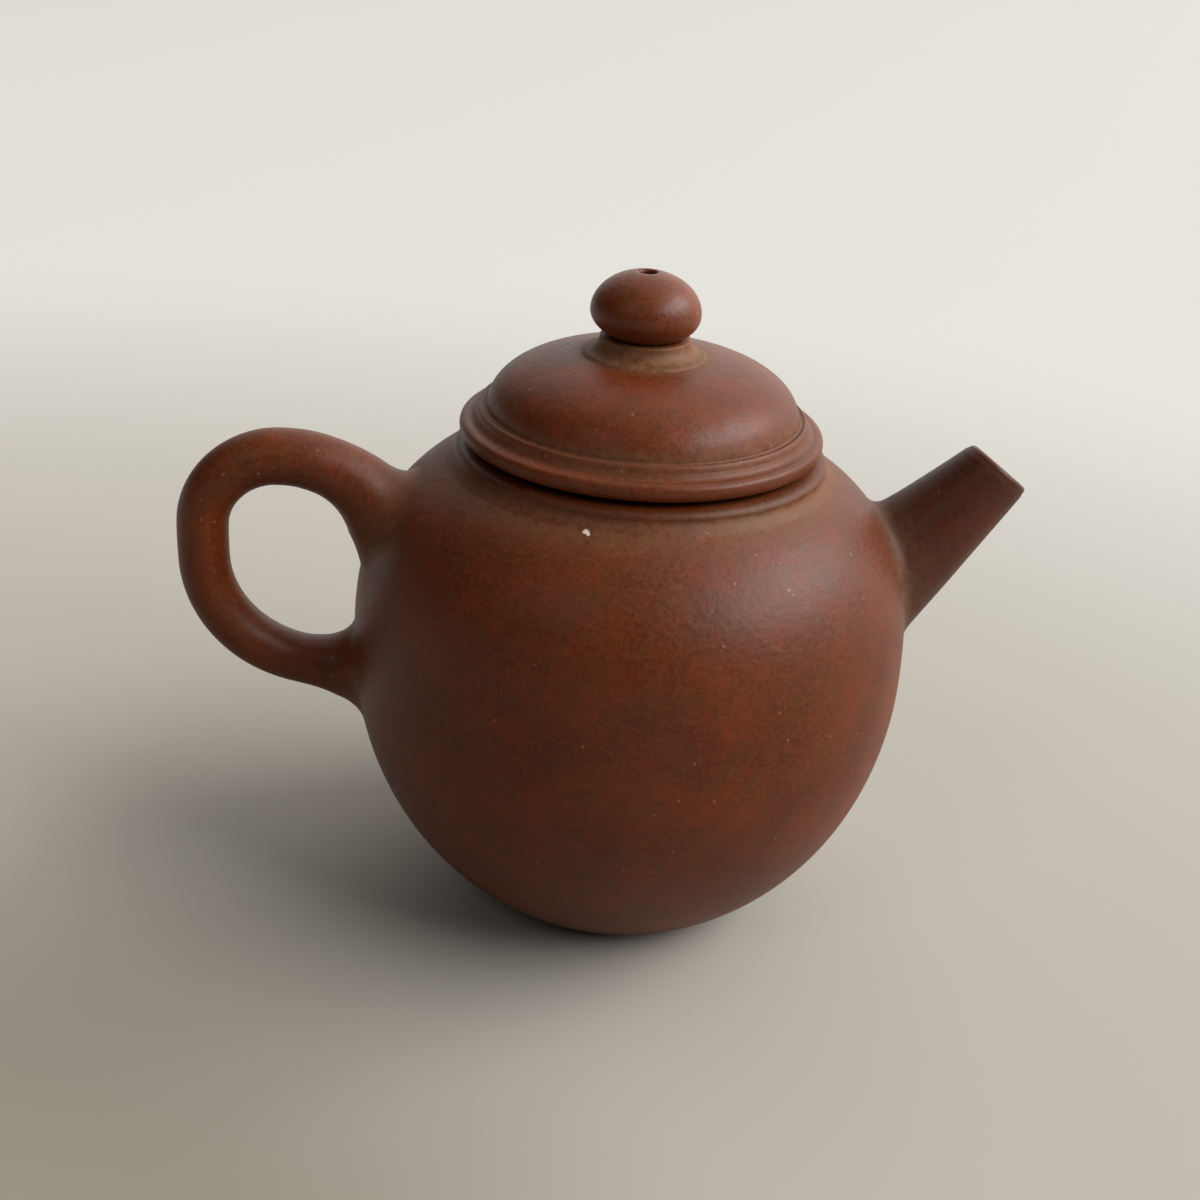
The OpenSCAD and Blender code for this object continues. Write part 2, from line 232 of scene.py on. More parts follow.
    # Worn edges show the paler clay; the same pale colour also paints a highlight along the spout's rounded
    # rim and its slip joint.
    wear_and_highlight = add(tree, "Attribute", {}, attribute_name="wear_and_highlight").outputs["Fac"]
    worn_and_highlit = add(tree, "Math", {0: wear_and_highlight, 1: patch}, operation="MULTIPLY").outputs["Value"]
    colour = add(tree, "Mix", {"Factor": worn_and_highlit, "A": colour.outputs["Result"], "B": linear("#a57a62")},
                 data_type="RGBA")
    # Near-black colour: painted shade in the gap under the lid, in the groove at the dome's foot, on the
    # neck ring under the lid's edge, over the spout and round its root, and tea stain with painted shade
    # inside the spout and the steam hole.
    stain_and_shade = add(tree, "Attribute", {}, attribute_name="stain_and_shade").outputs["Fac"]
    colour = add(tree, "Mix", {"Factor": stain_and_shade, "A": colour.outputs["Result"], "B": linear("#1a0c07")},
                 data_type="RGBA")
    # Chips, scuffs and pits. Noise adds 0 to 0.6 mm to the measured place, which makes their edges
    # ragged, and the 0.3 mm on the centre evens that out.
    ragged = add(tree, "TexNoise", {"Vector": mm, "Scale": 1.6, "Detail": 3.0}).outputs["Color"]
    ragged = add(tree, "VectorMath", {0: ragged, 1: (0.6, 0.6, 0.6), 2: mm},
                 operation="MULTIPLY_ADD").outputs["Vector"]
    for shade, centre, reach, amount in spots:
        near = add(tree, "VectorMath", {0: ragged, 1: [c + 0.3 for c in centre]},
                   operation="DISTANCE").outputs["Value"]
        near = add(tree, "MapRange", {"Value": near, "From Min": reach, "From Max": reach * 0.6,
                                      "To Max": amount}).outputs["Result"]
        colour = add(tree, "Mix", {"Factor": near, "A": colour.outputs["Result"], "B": linear(shade)},
                     data_type="RGBA")
    # Burnish: satin on the fine clay, duller on the grit and dull in the dust.
    gloss = add(tree, "MapRange", {"Value": grit, "To Min": roughness - 0.05,
                                   "To Max": roughness + 0.08}).outputs["Result"]
    gloss = add(tree, "Mix", {"Factor": dusty, "A": gloss, "B": 0.80}).outputs["Result"]
    # Grit, strokes and swells raise the skin by up to a tenth of a millimetre, and pits sink it.
    skin = add(tree, "TexNoise", {"Vector": mm, "Scale": 1.3, "Detail": 4.0, "Roughness": 0.6})
    wave = add(tree, "TexNoise", {"Vector": mm, "Scale": 0.10, "Detail": 1.0}).outputs["Fac"]
    dent = add(tree, "TexNoise", {"Vector": mm, "Scale": 0.34, "Detail": 2.0}).outputs["Fac"]
    height = add(tree, "Math", {0: skin.outputs["Fac"], 1: 0.048}, operation="MULTIPLY").outputs["Value"]
    for layer, rise in ((wave, swell), (dent, swell * 0.45), (stroke, 0.012), (pit, -0.06)):
        height = add(tree, "Math", {0: layer, 1: rise, 2: height}, operation="MULTIPLY_ADD").outputs["Value"]
    relief = add(tree, "Bump", {"Height": height, "Strength": 1.0, "Distance": MM}).outputs["Normal"]
    shader = add(tree, "BsdfPrincipled", {"Base Color": colour.outputs["Result"], "Roughness": gloss,
                                          "Normal": relief, "IOR": 1.5, "Specular IOR Level": 0.27})
    add(tree, "OutputMaterial", {"Surface": shader.outputs["BSDF"]})
    return finish


# A white chip at the ring's foot, a scuff and pits on the right shoulder, a pit near the handle and
# two dark marks on the left in front.
pot_clay = zisha("zisha_stoneware_burnished", clay="#632306", deep="#491703", light="#7c3b17",
                 olive="#472504", roughness=0.45, spots=[
                     ("#d9c6b6", (-8.2, -22.5, 59.35), 0.42, 1.0),
                     ("#d9c6b6", (-8.0, -22.8, 59.10), 0.28, 1.0),
                     ("#4f3220", (15.6, -26.5, 52.6), 0.50, 0.6),
                     ("#553726", (17.0, -26.4, 51.9), 0.55, 0.6),
                     ("#4f3220", (18.3, -26.5, 50.7), 0.50, 0.6),
                     ("#3a1a10", (20.4, -26.0, 48.7), 0.40, 0.7),
                     ("#94654e", (14.8, -26.3, 54.1), 0.40, 0.9),
                     ("#160904", (-31.2, -8.6, 43.6), 0.50, 1.0),
                     ("#330f07", (-18.2, -29.9, 36.6), 0.50, 0.35),
                     ("#330f07", (-15.9, -31.1, 36.7), 0.60, 0.35)])
# Up the outside from the rounded foot, over the shoulder, down the mouth, and back down the inside.
wall = turn(
    bend(BASE_R + 0.5, 0.5, 0.5, 180, 270, 4)
    + bend(FOOT_R - 0.55, 0.55, 0.55, 270, 330, 5)
    + [(side_r(z), z) for z in between(0.7, SHOULDER_H - 0.1, 96)]
    + [(NECK_R - 0.6, SHOULDER_H), (MOUTH_R + 0.4, SHOULDER_H)]
    + [(MOUTH_R, SHOULDER_H - 0.4), (MOUTH_R, SHOULDER_H - WALL_T + 0.4)]
    + [(MOUTH_R + 0.3, SHOULDER_H - WALL_T)]
    + [(side_r(z, WALL_T), z) for z in between(SHOULDER_H - WALL_T, FLOOR_H + 0.4, 64)]
    + [(side_r(FLOOR_H, WALL_T) - 0.4, FLOOR_H), (BASE_R, FLOOR_H)])
dry(wall)
pot_wall = settle("pot_wall", wall, "pot", ["body_wall", "mouth_disc"], pot_clay)

SPOUT_TIP, SPOUT_RISE = Vector((45.87, 0, 59.3)), math.radians(45)
SPOUT_DOWN = Vector((-math.cos(SPOUT_RISE), 0, -math.sin(SPOUT_RISE)))
STRAINER_R, STRAINER_PITCH, STRAINER_RING, DRILL_L = 1.1, 3.5, 6, 16.0


def inside_pot(p):
    """True where a point in mm lies under the pot's outer skin."""
    return math.hypot(p.x, p.y) < side_r(p.z)


def first_hit(path, start, end):
    """The value between start and end at which a path of points meets the pot's skin."""
    for _ in range(40):
        middle = (start + end) / 2
        if inside_pot(path(middle)):
            end = middle
        else:
            start = middle
    return end


# Seven holes where the spout's axis meets the wall: a ring of six, and the last in the middle.
drill = bmesh.new()
centre = SPOUT_TIP + SPOUT_DOWN * first_hit(lambda s: SPOUT_TIP + SPOUT_DOWN * s, 0, 30)
for k in range(STRAINER_RING + 1):
    a = math.radians(360 / STRAINER_RING * k)
    step = Vector((0, math.cos(a), math.sin(a))) if k < STRAINER_RING else Vector((0, 0, 0))
    place = Matrix.Translation((centre + step * STRAINER_PITCH) * MM)
    bmesh.ops.create_cone(drill, cap_ends=True, segments=24, radius1=STRAINER_R * MM,
                          radius2=STRAINER_R * MM, depth=DRILL_L * MM,
                          matrix=place @ Matrix.Rotation(math.pi / 2, 4, "Y"))
mesh = bpy.data.meshes.new("strainer_drill")
drill.to_mesh(mesh)
drill.free()
cutter = bpy.data.objects.new("strainer_drill", mesh)
bpy.context.scene.collection.objects.link(cutter)
pierce = pot_wall.modifiers.new("strainer", "BOOLEAN")
pierce.operation, pierce.solver, pierce.object = "DIFFERENCE", "EXACT", cutter
pierced = bpy.data.meshes.new_from_object(pot_wall.evaluated_get(bpy.context.evaluated_depsgraph_get()))
pot_wall.modifiers.clear()
pot_wall.data = pierced
bpy.data.objects.remove(cutter)


# ---------------------------------------------------------------- Base disc
# Cut from a rolled slab and pressed in from below, so that the pot stands on the rim
# of its side. Its flat face is only wiped, with no mark pressed into it.
wiped_clay = zisha("zisha_stoneware_wiped", clay="#672d13", deep="#532410", light="#86502f",
                   olive="#58371a", roughness=0.62, swell=0.05)
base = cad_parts["base_disc"]
base.data.materials.clear()
base.data.materials.append(wiped_clay)


# ---------------------------------------------------------------- Neck ring
# A thin roll luted round the mouth and shaped with a strip of wet leather: it carries
# the lid. Dust settles in the crease under it.
RING_R, RING_H = 22.8, 2.0
SEAT_H = SHOULDER_H + RING_H


def hollow(start, corner, end, count):
    """Points of a soft hollow curve from start to end, drawn towards a corner."""
    return [(start[0] * (1 - t) ** 2 + corner[0] * 2 * t * (1 - t) + end[0] * t ** 2,
             start[1] * (1 - t) ** 2 + corner[1] * 2 * t * (1 - t) + end[1] * t ** 2)
            for t in between(0, 1, count)]


# Its foot runs out over the shoulder in a hollow curve, and its top turns over to the seat.
ring = turn(
    [(MOUTH_R, SHOULDER_H - 0.2), (NECK_R - 0.2, SHOULDER_H - 0.2)]
    + hollow((side_r(SHOULDER_H - 1.6) - 0.12, SHOULDER_H - 1.6), (NECK_R + 0.10, SHOULDER_H - 0.10),
             (RING_R - 0.02, SHOULDER_H + 0.95), 18)
    + hollow((RING_R, SHOULDER_H + 1.0), (RING_R - 0.05, SEAT_H - 0.18),
             (RING_R - 1.35, SEAT_H - 0.04), 10)
    + bend(MOUTH_R + 0.4, SEAT_H - 0.4, 0.4, 90, 180, 5))
dry(ring)
neck_ring = settle("neck_ring_roll", ring, "pot", ["neck_ring"], pot_clay)
# Dust lies in the crease all round, and thickest on the spout's side, where no finger wipes it.
unwiped = [(23.6 * math.cos(a), 23.6 * math.sin(a), 59.8) for a in between(-1.25, 0.9, 60)]
for piece in (pot_wall, neck_ring):
    mark(piece, "dust", ring_of(NECK_R, SHOULDER_H - 0.2), reach=1.2, amount=0.55)
    mark(piece, "dust", unwiped, reach=2.3, amount=0.7)
    mark(piece, "dust", ring_of(24.3, 59.2), reach=2.0, amount=0.45)


# ---------------------------------------------------------------- Spout
# A cone rolled from a thin slab, luted over the strainer and pared to a flat end. The
# joint is filled with slip and drawn into a small hollow fillet; the rim is worn pale, and a painted
# highlight runs along the rim and the joint.
TIP_R, TAPER, TIP_ROUND, ROOT_FILLET = 4.4, math.tan(math.radians(9.5)), 0.7, 1.9
TIP_TILT, SIDE_TILT = math.tan(math.radians(7)), math.tan(math.radians(5))
BORE_R, BORE_TAPER, BORE_EDGE = 2.7, math.tan(math.radians(9)), 0.5
SPOUT_UP = Vector((-math.sin(SPOUT_RISE), 0, math.cos(SPOUT_RISE)))
ACROSS = Vector((0, 1, 0))


def skin_normal(p):
    """The direction that the pot's skin faces at a point."""
    slope = (side_r(p.z + 0.05) - side_r(p.z - 0.05)) / 0.1
    out = Vector((p.x, p.y, 0)).normalized()
    return (out - Vector((0, 0, slope))).normalized()


def on_skin(p, sink):
    """Moves a point onto the pot's skin, sunk by a little."""
    out = Vector((p.x, p.y, 0)).normalized()
    return out * side_r(p.z) + Vector((0, 0, p.z)) - skin_normal(p) * sink


def fillet(start, corner, outward, reach, t):
    """A point of the hollow curve that leads from a piece's side onto the pot's skin, and past
    t = 1 just under the skin."""
    along = (outward - skin_normal(corner) * outward.dot(skin_normal(corner))).normalized()
    if t > 1:
        return on_skin(corner + along * (reach + 0.8), 0.25)
    end = on_skin(corner + along * reach, 0.02)
    return start * (1 - t) ** 2 + corner * 2 * t * (1 - t) + end * t ** 2


def spout_point(turned, radius, depth):
    """A point on the spout: turned about its axis, so far from the axis and below the pared end."""
    side = SPOUT_UP * math.cos(turned) + ACROSS * math.sin(turned)
    lean = radius * (math.cos(turned) * TIP_TILT + math.sin(turned) * SIDE_TILT)
    return SPOUT_TIP + side * radius + SPOUT_DOWN * (depth + lean)


# The last ring of the bore, its rounded edge, the tube's rounded edge, the side and the fillet.
BORE_END, EDGE_END, TIP_END, SIDE_END, FILLET_END, SPOUT_RINGS = 12, 16, 24, 56, 66, 68


def spout_place(turned, k):
    """Where each ring of the spout's shell lies: bore, pared end, side, fillet, and hidden root."""
    side = SPOUT_UP * math.cos(turned) + ACROSS * math.sin(turned)
    outer = lambda depth: spout_point(turned, TIP_R + depth * TAPER, depth)
    root = first_hit(outer, 0, 40)
    if k <= BORE_END:
        bore = lambda depth: spout_point(turned, BORE_R + depth * BORE_TAPER, depth)
        depth = BORE_EDGE + (first_hit(bore, 0, 40) - 0.4) * (BORE_END - k) / BORE_END
        return bore(depth)
    if k <= EDGE_END:
        a = math.radians(90 * (k - BORE_END) / (EDGE_END - BORE_END))
        return spout_point(turned, BORE_R + BORE_EDGE - BORE_EDGE * math.cos(a),
                           BORE_EDGE - BORE_EDGE * math.sin(a))
    if k <= TIP_END:
        a = math.radians(90 * (k - EDGE_END - 1) / (TIP_END - EDGE_END - 1))
        return spout_point(turned, TIP_R - TIP_ROUND + TIP_ROUND * math.sin(a),
                           TIP_ROUND - TIP_ROUND * math.cos(a))
    if k <= SIDE_END:
        depth = TIP_ROUND + (root - ROOT_FILLET - TIP_ROUND) * (k - TIP_END) / (SIDE_END - TIP_END)
        return outer(depth)
    if k <= FILLET_END:
        t = (k - SIDE_END) / (FILLET_END - SIDE_END - 1)
        return fillet(outer(root - ROOT_FILLET), outer(root), side, ROOT_FILLET, t)
    return on_skin(outer(root), 0.8)


tube = turn([(1, k) for k in range(SPOUT_RINGS)], sides=96)
for v in tube.verts:
    v.co = spout_place(math.atan2(v.co.y, v.co.x), round(v.co.z))
for v in tube.verts:
    clear = min(1, (math.hypot(v.co.x, v.co.y) - side_r(v.co.z)) / 3)
    v.co += skin_normal(v.co) * 0.07 * noise.noise(v.co / 9 + Vector((5, 1, 2))) * clear
dry(tube)
spout = settle("spout_tube", tube, "pot", ["spout"], pot_clay)
spout_root = [spout_place(a, SIDE_END + 4) for a in between(0, 2 * math.pi, 120)]
mark(spout, "dust", spout_root, reach=1.1, amount=0.35)
spout_foot = [spout_place(a, SIDE_END + 2) for a in between(-1.9, 1.9, 60)]
mark(spout, "dust", spout_foot, reach=3.2, amount=0.55)
mark(pot_wall, "dust", spout_root, reach=3.0, amount=0.5)
# Painted shade on the pot's side round the spout's root, dimming the light bounced there from the spout.
mark(pot_wall, "stain_and_shade", spout_root, reach=6.0, amount=0.38)
# Tea stain and painted shade inside the spout's bore near its mouth.
bore_mouth = [spout_place(a, k) for a in between(0, 2 * math.pi, 40)
              for k in range(BORE_END - 3, BORE_END + 2)]
mark(spout, "stain_and_shade", bore_mouth, reach=0.8, amount=0.9)
# Pale wear with a painted highlight along the spout's rounded pared rim.
pared_edge = [spout_place(a, EDGE_END + 2) for a in between(0, 2 * math.pi, 120)]
mark(spout, "wear_and_highlight", pared_edge, reach=0.22, amount=0.9)
# A pale line along the slip joint, partly a painted highlight on its ridge.
slip_edge = [spout_place(a, FILLET_END - 3) for a in between(0, 2 * math.pi, 180)]
mark(spout, "wear_and_highlight", slip_edge, reach=0.2, amount=0.35)
# Painted shade darkens the whole spout, most towards its tip.
mark(spout, "stain_and_shade", [SPOUT_TIP + SPOUT_DOWN * d for d in (0, 10, 20)], reach=25, amount=0.48)


# ---------------------------------------------------------------- Handle
# A tapered roll of clay bent to a loop and luted on at both ends, which are spread and
# smoothed onto the side with a bamboo tool; a soft ridge is left where it was pressed.
BACK_X, TOP_H, CROWN_R, BACK_L, SWEEP_R, ARM_R = -53.26, 59.3, 9.4, 3.7, 14.5, 14.4
BACK_T, ARM_T, WIDE, LOWER_SLOPE = 6.4, 7.0, 1.08, 6.0
UPPER_SPREAD, UPPER_L, LOWER_SPREAD, LOWER_L = 2.8, 13.0, 3.6, 7.5
ARM_START, ARM_END, ARM_SWELL, TAIL_DROOP, TAIL_THIN, TAIL_TAPER = 18, 84, 0.35, 0.15, 0.1, 0.05
PRESS_H, PRESS_TURN, PRESS_WIDE, PRESS_AT, PRESS_L, OVAL = 0.22, -2.2, 0.35, 16.0, 12.0, 0.06


def handle_line():
    """Centre line from the shoulder over the top to the lower root, as x, z and thickness."""
    crown_x, crown_z = BACK_X + CROWN_R, TOP_H - CROWN_R
    sweep_x, sweep_z, last = BACK_X + SWEEP_R, TOP_H - CROWN_R - BACK_L, 270 - LOWER_SLOPE
    line = [(x, z, ARM_T + ARM_SWELL * math.sin(math.pi * i / 30))
            for i, (x, z) in enumerate(bend(crown_x, TOP_H - ARM_R, ARM_R, ARM_START, ARM_END, 30))]
    line += [(x, z, ARM_T + (BACK_T - ARM_T) * i / 28)
             for i, (x, z) in enumerate(bend(crown_x, crown_z, CROWN_R, 90, 180, 28))]
    line += [(x, z - TAIL_DROOP * max(0, i / 12 - 2) ** 2, BACK_T - TAIL_THIN * max(0, i / 12 - 2))
             for i, (x, z) in enumerate(bend(sweep_x, sweep_z, SWEEP_R, 180, last, 36))]
    x, z, t = line[-1]
    slope = math.radians(LOWER_SLOPE)
    line += [(x + d * math.cos(slope), z - d * math.sin(slope) - TAIL_TAPER * d, t - TAIL_TAPER * d)
             for d in between(0.6, 9, 14)]
    points = [Vector(p) for p in line]
    for _ in range(3):
        points[1:-1] = [(a + b * 2 + c) / 4 for a, b, c in zip(points, points[1:], points[2:])]
    return points


LINE = handle_line()
LENGTHS = [0.0]
for a, b in zip(LINE, LINE[1:]):
    LENGTHS.append(LENGTHS[-1] + math.hypot(b.x - a.x, b.y - a.y))


def handle_point(turned, s):
    """A point on the roll's skin, turned about its centre line at a length s from its upper end."""
    passed = next((n for n, length in enumerate(LENGTHS) if length > s), len(LINE))
    i = max(0, min(len(LINE) - 2, passed - 1))
    t = (s - LENGTHS[i]) / (LENGTHS[i + 1] - LENGTHS[i])
    here = LINE[i].lerp(LINE[i + 1], t)
    before, after = LINE[max(0, i - 1)], LINE[min(len(LINE) - 1, i + 2)]
    run = LINE[i + 1] - LINE[i]
    if t > 0.5:
        run = run.lerp(after - LINE[min(i + 1, len(LINE) - 2)], 0.5 * t)
    else:
        run = run.lerp(LINE[i] - before, 0.5 - 0.5 * t)
    way = Vector((run.x, 0, run.y)).normalized()
    outer = Vector((way.z, 0, -way.x))
    gap = max(0, -here.x - side_r(here.y))
    spread, length = (UPPER_SPREAD, UPPER_L) if here.y > WIDEST_H else (LOWER_SPREAD, LOWER_L)
    r = (here.z + spread * max(0, 1 - gap / length) ** 2) / 2
    ridge = PRESS_H * math.exp(-((turned - PRESS_TURN) / PRESS_WIDE) ** 2)
    ridge *= math.exp(-((s - PRESS_AT) / PRESS_L) ** 2)
    side = outer * math.cos(turned) + ACROSS * math.sin(turned) * WIDE
    return Vector((here.x, 0, here.y)) + side * (r + ridge - OVAL * math.cos(2 * turned)), outer


HANDLE_RINGS, END_RINGS, HANDLE_FILLET = 110, 12, 3.2


def handle_ends(turned):
    """Lengths at which one line of the roll's skin meets the pot, above and below."""
    half = LENGTHS[-1] / 2
    upper = first_hit(lambda s: handle_point(turned, half - s)[0], 0, half)
    lower = first_hit(lambda s: handle_point(turned, half + s)[0], 0, half)
    return half - upper, half + lower


def handle_place(turned, k):
    """Where each ring of the handle lies: hidden root, fillet, loop, fillet, hidden root."""
    upper, lower = handle_ends(turned)
    if k < END_RINGS or k > END_RINGS + HANDLE_RINGS:
        s, back = (upper, 1) if k < END_RINGS else (lower, -1)
        n = END_RINGS - k if k < END_RINGS else k - END_RINGS - HANDLE_RINGS
        corner, outer = handle_point(turned, s)
        start = handle_point(turned, s + back * HANDLE_FILLET)[0]
        outward = outer * math.cos(turned) + ACROSS * math.sin(turned)
        if n == END_RINGS:
            return on_skin(corner, 1.0)
        return fillet(start, corner, outward, HANDLE_FILLET * 0.8, n / (END_RINGS - 2))
    t = (k - END_RINGS) / HANDLE_RINGS
    return handle_point(turned, (upper + HANDLE_FILLET) * (1 - t) + (lower - HANDLE_FILLET) * t)[0]


HANDLE_SIDES, LAST_RING = 72, HANDLE_RINGS + 2 * END_RINGS
roll = turn([(1, k) for k in range(LAST_RING + 1)], HANDLE_SIDES, closed=False)
for v in roll.verts:
    j = round(math.atan2(v.co.y, v.co.x) / (2 * math.pi) * HANDLE_SIDES) % HANDLE_SIDES
    v.co = handle_place(2 * math.pi * j / HANDLE_SIDES, round(v.co.z))
bmesh.ops.holes_fill(roll, edges=roll.edges)
# Small bends left by the fingers. The seed keeps them the same each time.
noise.seed_set(3)
for v in roll.verts:
    clear = share(math.hypot(v.co.x, v.co.y) - side_r(v.co.z), 0, 4)
    v.co += 0.12 * noise.noise_vector(v.co / 14) * clear
dry(roll)
handle = settle("handle_roll", roll, "pot", ["handle"], pot_clay)
upper_root = [handle_place(a, 3) for a in between(0, 2 * math.pi, 90)]
lower_root = [handle_place(a, LAST_RING - 3) for a in between(0, 2 * math.pi, 90)]
for piece in (handle, pot_wall):
    mark(piece, "dust", upper_root, reach=2.4, amount=0.55)
    mark(piece, "dust", lower_root, reach=1.5, amount=0.35)


# ---------------------------------------------------------------- Lid rim
# A thick roll luted under the dome and trued with a shaped bamboo edge: a narrow band
# under the dome, then a hollow that flares to a rounded ridge. It rests on the neck ring.
lid_clay = zisha("zisha_stoneware_lid_polished", clay="#652407", deep="#4b1a04", light="#803c1a",
                 olive="#492606", roughness=0.43)
LIP_R, LIP_EDGE, LIP_RISE, STEP_R, STEP_H, LID_BORE_R = 22.2, 2.0, 1.0, 20.3, 1.3, 16.85
RIDGE_H = SEAT_H + LIP_EDGE
STEP_BASE_H = RIDGE_H + LIP_RISE
DOME_BASE_H = STEP_BASE_H + STEP_H
LID_SHIFT, DOME_SHIFT, LID_CROWN, LID_CROWN_R, SHIFT_FULL_R = 0.15, 0.25, 0.24, 19.5, 6.0


def set_lid(form, shift=LID_SHIFT):
    """Lays a piece of the lid on the seat, which is a little low on the spout side, shifts it by a
    hair towards the spout, and crowns it a little in the middle."""
    for v in form.verts:
        r = math.hypot(v.co.x, v.co.y)
        v.co.z += LID_CROWN * max(0, 1 - (r / LID_CROWN_R) ** 2) - SINK * max(0, 0.5 + v.co.x / SEAT_D)
        v.co.x += shift * min(1, r / SHIFT_FULL_R)


# From the seat: the undercut lip, its rounded edge, the hollow up to the step, the step, and the
# groove round the dome's foot.
rim = turn(
    [(LID_BORE_R, SEAT_H + 0.02), (LIP_R - 2.4, SEAT_H + 0.02), (LIP_R - 2.2, SEAT_H + 0.52)]
    + hollow((LIP_R - 1.2, SEAT_H + 0.60), (LIP_R - 0.03, SEAT_H + 0.72), (LIP_R, RIDGE_H - 0.10), 10)
    + hollow((LIP_R - 0.01, RIDGE_H), (LIP_R - 0.03, RIDGE_H + 0.74), (LIP_R - 0.85, RIDGE_H + 0.86), 10)
    + hollow((LIP_R - 1.05, RIDGE_H + 0.85), (STEP_R + 0.28, STEP_BASE_H - 0.16),
             (STEP_R + 0.02, STEP_BASE_H + 0.48), 12)
    + hollow((STEP_R - 0.06, STEP_BASE_H + 0.58), (STEP_R - 0.18, DOME_BASE_H + 0.04),
             (STEP_R - 0.50, DOME_BASE_H + 0.12), 8)
    + hollow((STEP_R - 0.62, DOME_BASE_H + 0.09), (STEP_R - 0.98, DOME_BASE_H - 0.16),
             (STEP_R - 1.22, DOME_BASE_H + 0.20), 8)
    + [(STEP_R - 1.5, DOME_BASE_H - 0.10), (LID_BORE_R, DOME_BASE_H - 0.10)])
hand_made(rim, depth=0.08, size=16, seed=1.7)
set_lid(rim)
lid_rim = settle("lid_rim_roll", rim, "lid", ["lid_rim"], lid_clay)
# Painted shadow, near black, in the gap where the lid sits on the neck ring.
mark(lid_rim, "stain_and_shade", ring_of(LIP_R - 2.2, SEAT_H + 0.3), reach=0.9, amount=0.9)
mark(neck_ring, "stain_and_shade", ring_of(LIP_R - 2.2, SEAT_H), reach=1.0, amount=0.9)
# Painted shadow of the lid's edge on the top of the neck ring.
mark(neck_ring, "stain_and_shade", ring_of(RING_R - 0.2, SEAT_H - 0.5), reach=1.0, amount=0.32)
mark(lid_rim, "dust", ring_of(STEP_R, STEP_BASE_H + 0.42), reach=0.9, amount=0.45)
mark(lid_rim, "dust", ring_of(STEP_R - 1.0, DOME_BASE_H + 0.1), reach=0.6, amount=0.7)
# Painted shade in the groove round the dome's foot.
mark(lid_rim, "stain_and_shade", ring_of(STEP_R - 1.05, DOME_BASE_H - 0.05), reach=0.4, amount=0.3)


# ---------------------------------------------------------------- Lid flange
# A plain strip bent to a ring and luted under the lid. It drops into the mouth and is
# left rough, a little paler where it rubs.
flange_clay = zisha("zisha_stoneware_flange_rough", clay="#7a4a33", deep="#653722", light="#94654a",
                    olive="#6b4a30", roughness=0.68, swell=0.03)
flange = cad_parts["lid_flange"]
flange.data.materials.clear()
flange.data.materials.append(flange_clay)


# ---------------------------------------------------------------- Lid dome
# A disc beaten over a former into a shallow dome, hollow underneath, with the steam
# hole pierced through its middle.
DOME_R, DOME_RISE, DOME_T, HOLE_R = 19.1, 7.2, 2.0, 1.0
DOME_POWER, DOME_FOOT = 2.5, math.cos(math.radians(5))


def dome_share(t):
    """Share of the dome's rise that is left at a share of its radius."""
    arch = lambda x: (1 - (x * DOME_FOOT) ** DOME_POWER) ** (1 / DOME_POWER)
    return (arch(t) - arch(1)) / (1 - arch(1))


def dome_line(radius, rise, count):
    """The dome's curve from the steam hole out to its foot."""
    return [(radius * math.cos(a), DOME_BASE_H + rise * dome_share(math.cos(a)))
            for a in between(math.acos(HOLE_R / radius), 0, count)]


dome = turn(
    dome_line(DOME_R, DOME_RISE, 60)
    + [(DOME_R - 0.12, DOME_BASE_H - 0.14), (DOME_R - 0.4, DOME_BASE_H - 0.3)]
    + [(DOME_R - DOME_T, DOME_BASE_H - 0.12)]
    + dome_line(DOME_R - DOME_T, DOME_RISE - DOME_T, 40)[::-1])
hand_made(dome, depth=0.08, size=13, seed=6.2)
set_lid(dome, DOME_SHIFT)
lid_dome = settle("lid_dome_shell", dome, "lid", ["lid_dome"], lid_clay)
mark(lid_dome, "dust", ring_of(DOME_R, DOME_BASE_H + 0.2), reach=1.0, amount=0.6)


# ---------------------------------------------------------------- Knob collar
# A small pad of clay luted under the knob and thumbed out onto the dome in a hollow
# curve. The steam hole runs through it, and dust stays where fingers don't reach.
COLLAR_R, COLLAR_TOP_R, COLLAR_H, COLLAR_EDGE, COLLAR_HOLLOW = 7.4, 5.5, 1.8, 0.25, 0.4
DOME_TOP_H = DOME_BASE_H + DOME_RISE
KNOB_BASE_H = DOME_TOP_H + COLLAR_H
collar_foot_h = DOME_BASE_H + DOME_RISE * dome_share(COLLAR_R / DOME_R)


def collar_side(t):
    """A point of the collar's hollow side, from its foot to its top."""
    dip = 4 * COLLAR_HOLLOW * t * (1 - t)
    low = collar_foot_h + COLLAR_EDGE
    return COLLAR_R + (COLLAR_TOP_R - COLLAR_R) * t - dip, low + (KNOB_BASE_H - low) * t - dip


collar = turn(
    [(COLLAR_R - 0.2, collar_foot_h - 0.5)]
    + hollow((COLLAR_R + 0.30, collar_foot_h - 0.06), (COLLAR_R + 0.10, collar_foot_h + 0.04),
             collar_side(0.04), 5)
    + [collar_side(t) for t in between(0.1, 0.94, 14)]
    + [(COLLAR_TOP_R + 0.02, KNOB_BASE_H - 0.08), (COLLAR_TOP_R - 0.12, KNOB_BASE_H + 0.03),
       (COLLAR_TOP_R - 0.5, KNOB_BASE_H + 0.06), (HOLE_R, KNOB_BASE_H + 0.06),
       (HOLE_R, DOME_TOP_H - 0.5)], sides=128)
hand_made(collar, depth=0.08, size=6, seed=4.4)
set_lid(collar, 0)
knob_collar = settle("knob_collar_pad", collar, "lid", ["knob_collar"], lid_clay)
mark(knob_collar, "dust", ring_of(6.3, collar_foot_h + 1.0, 90), reach=2.4, amount=0.95)
mark(lid_dome, "dust", ring_of(COLLAR_R + 0.1, collar_foot_h), reach=0.9, amount=0.6)


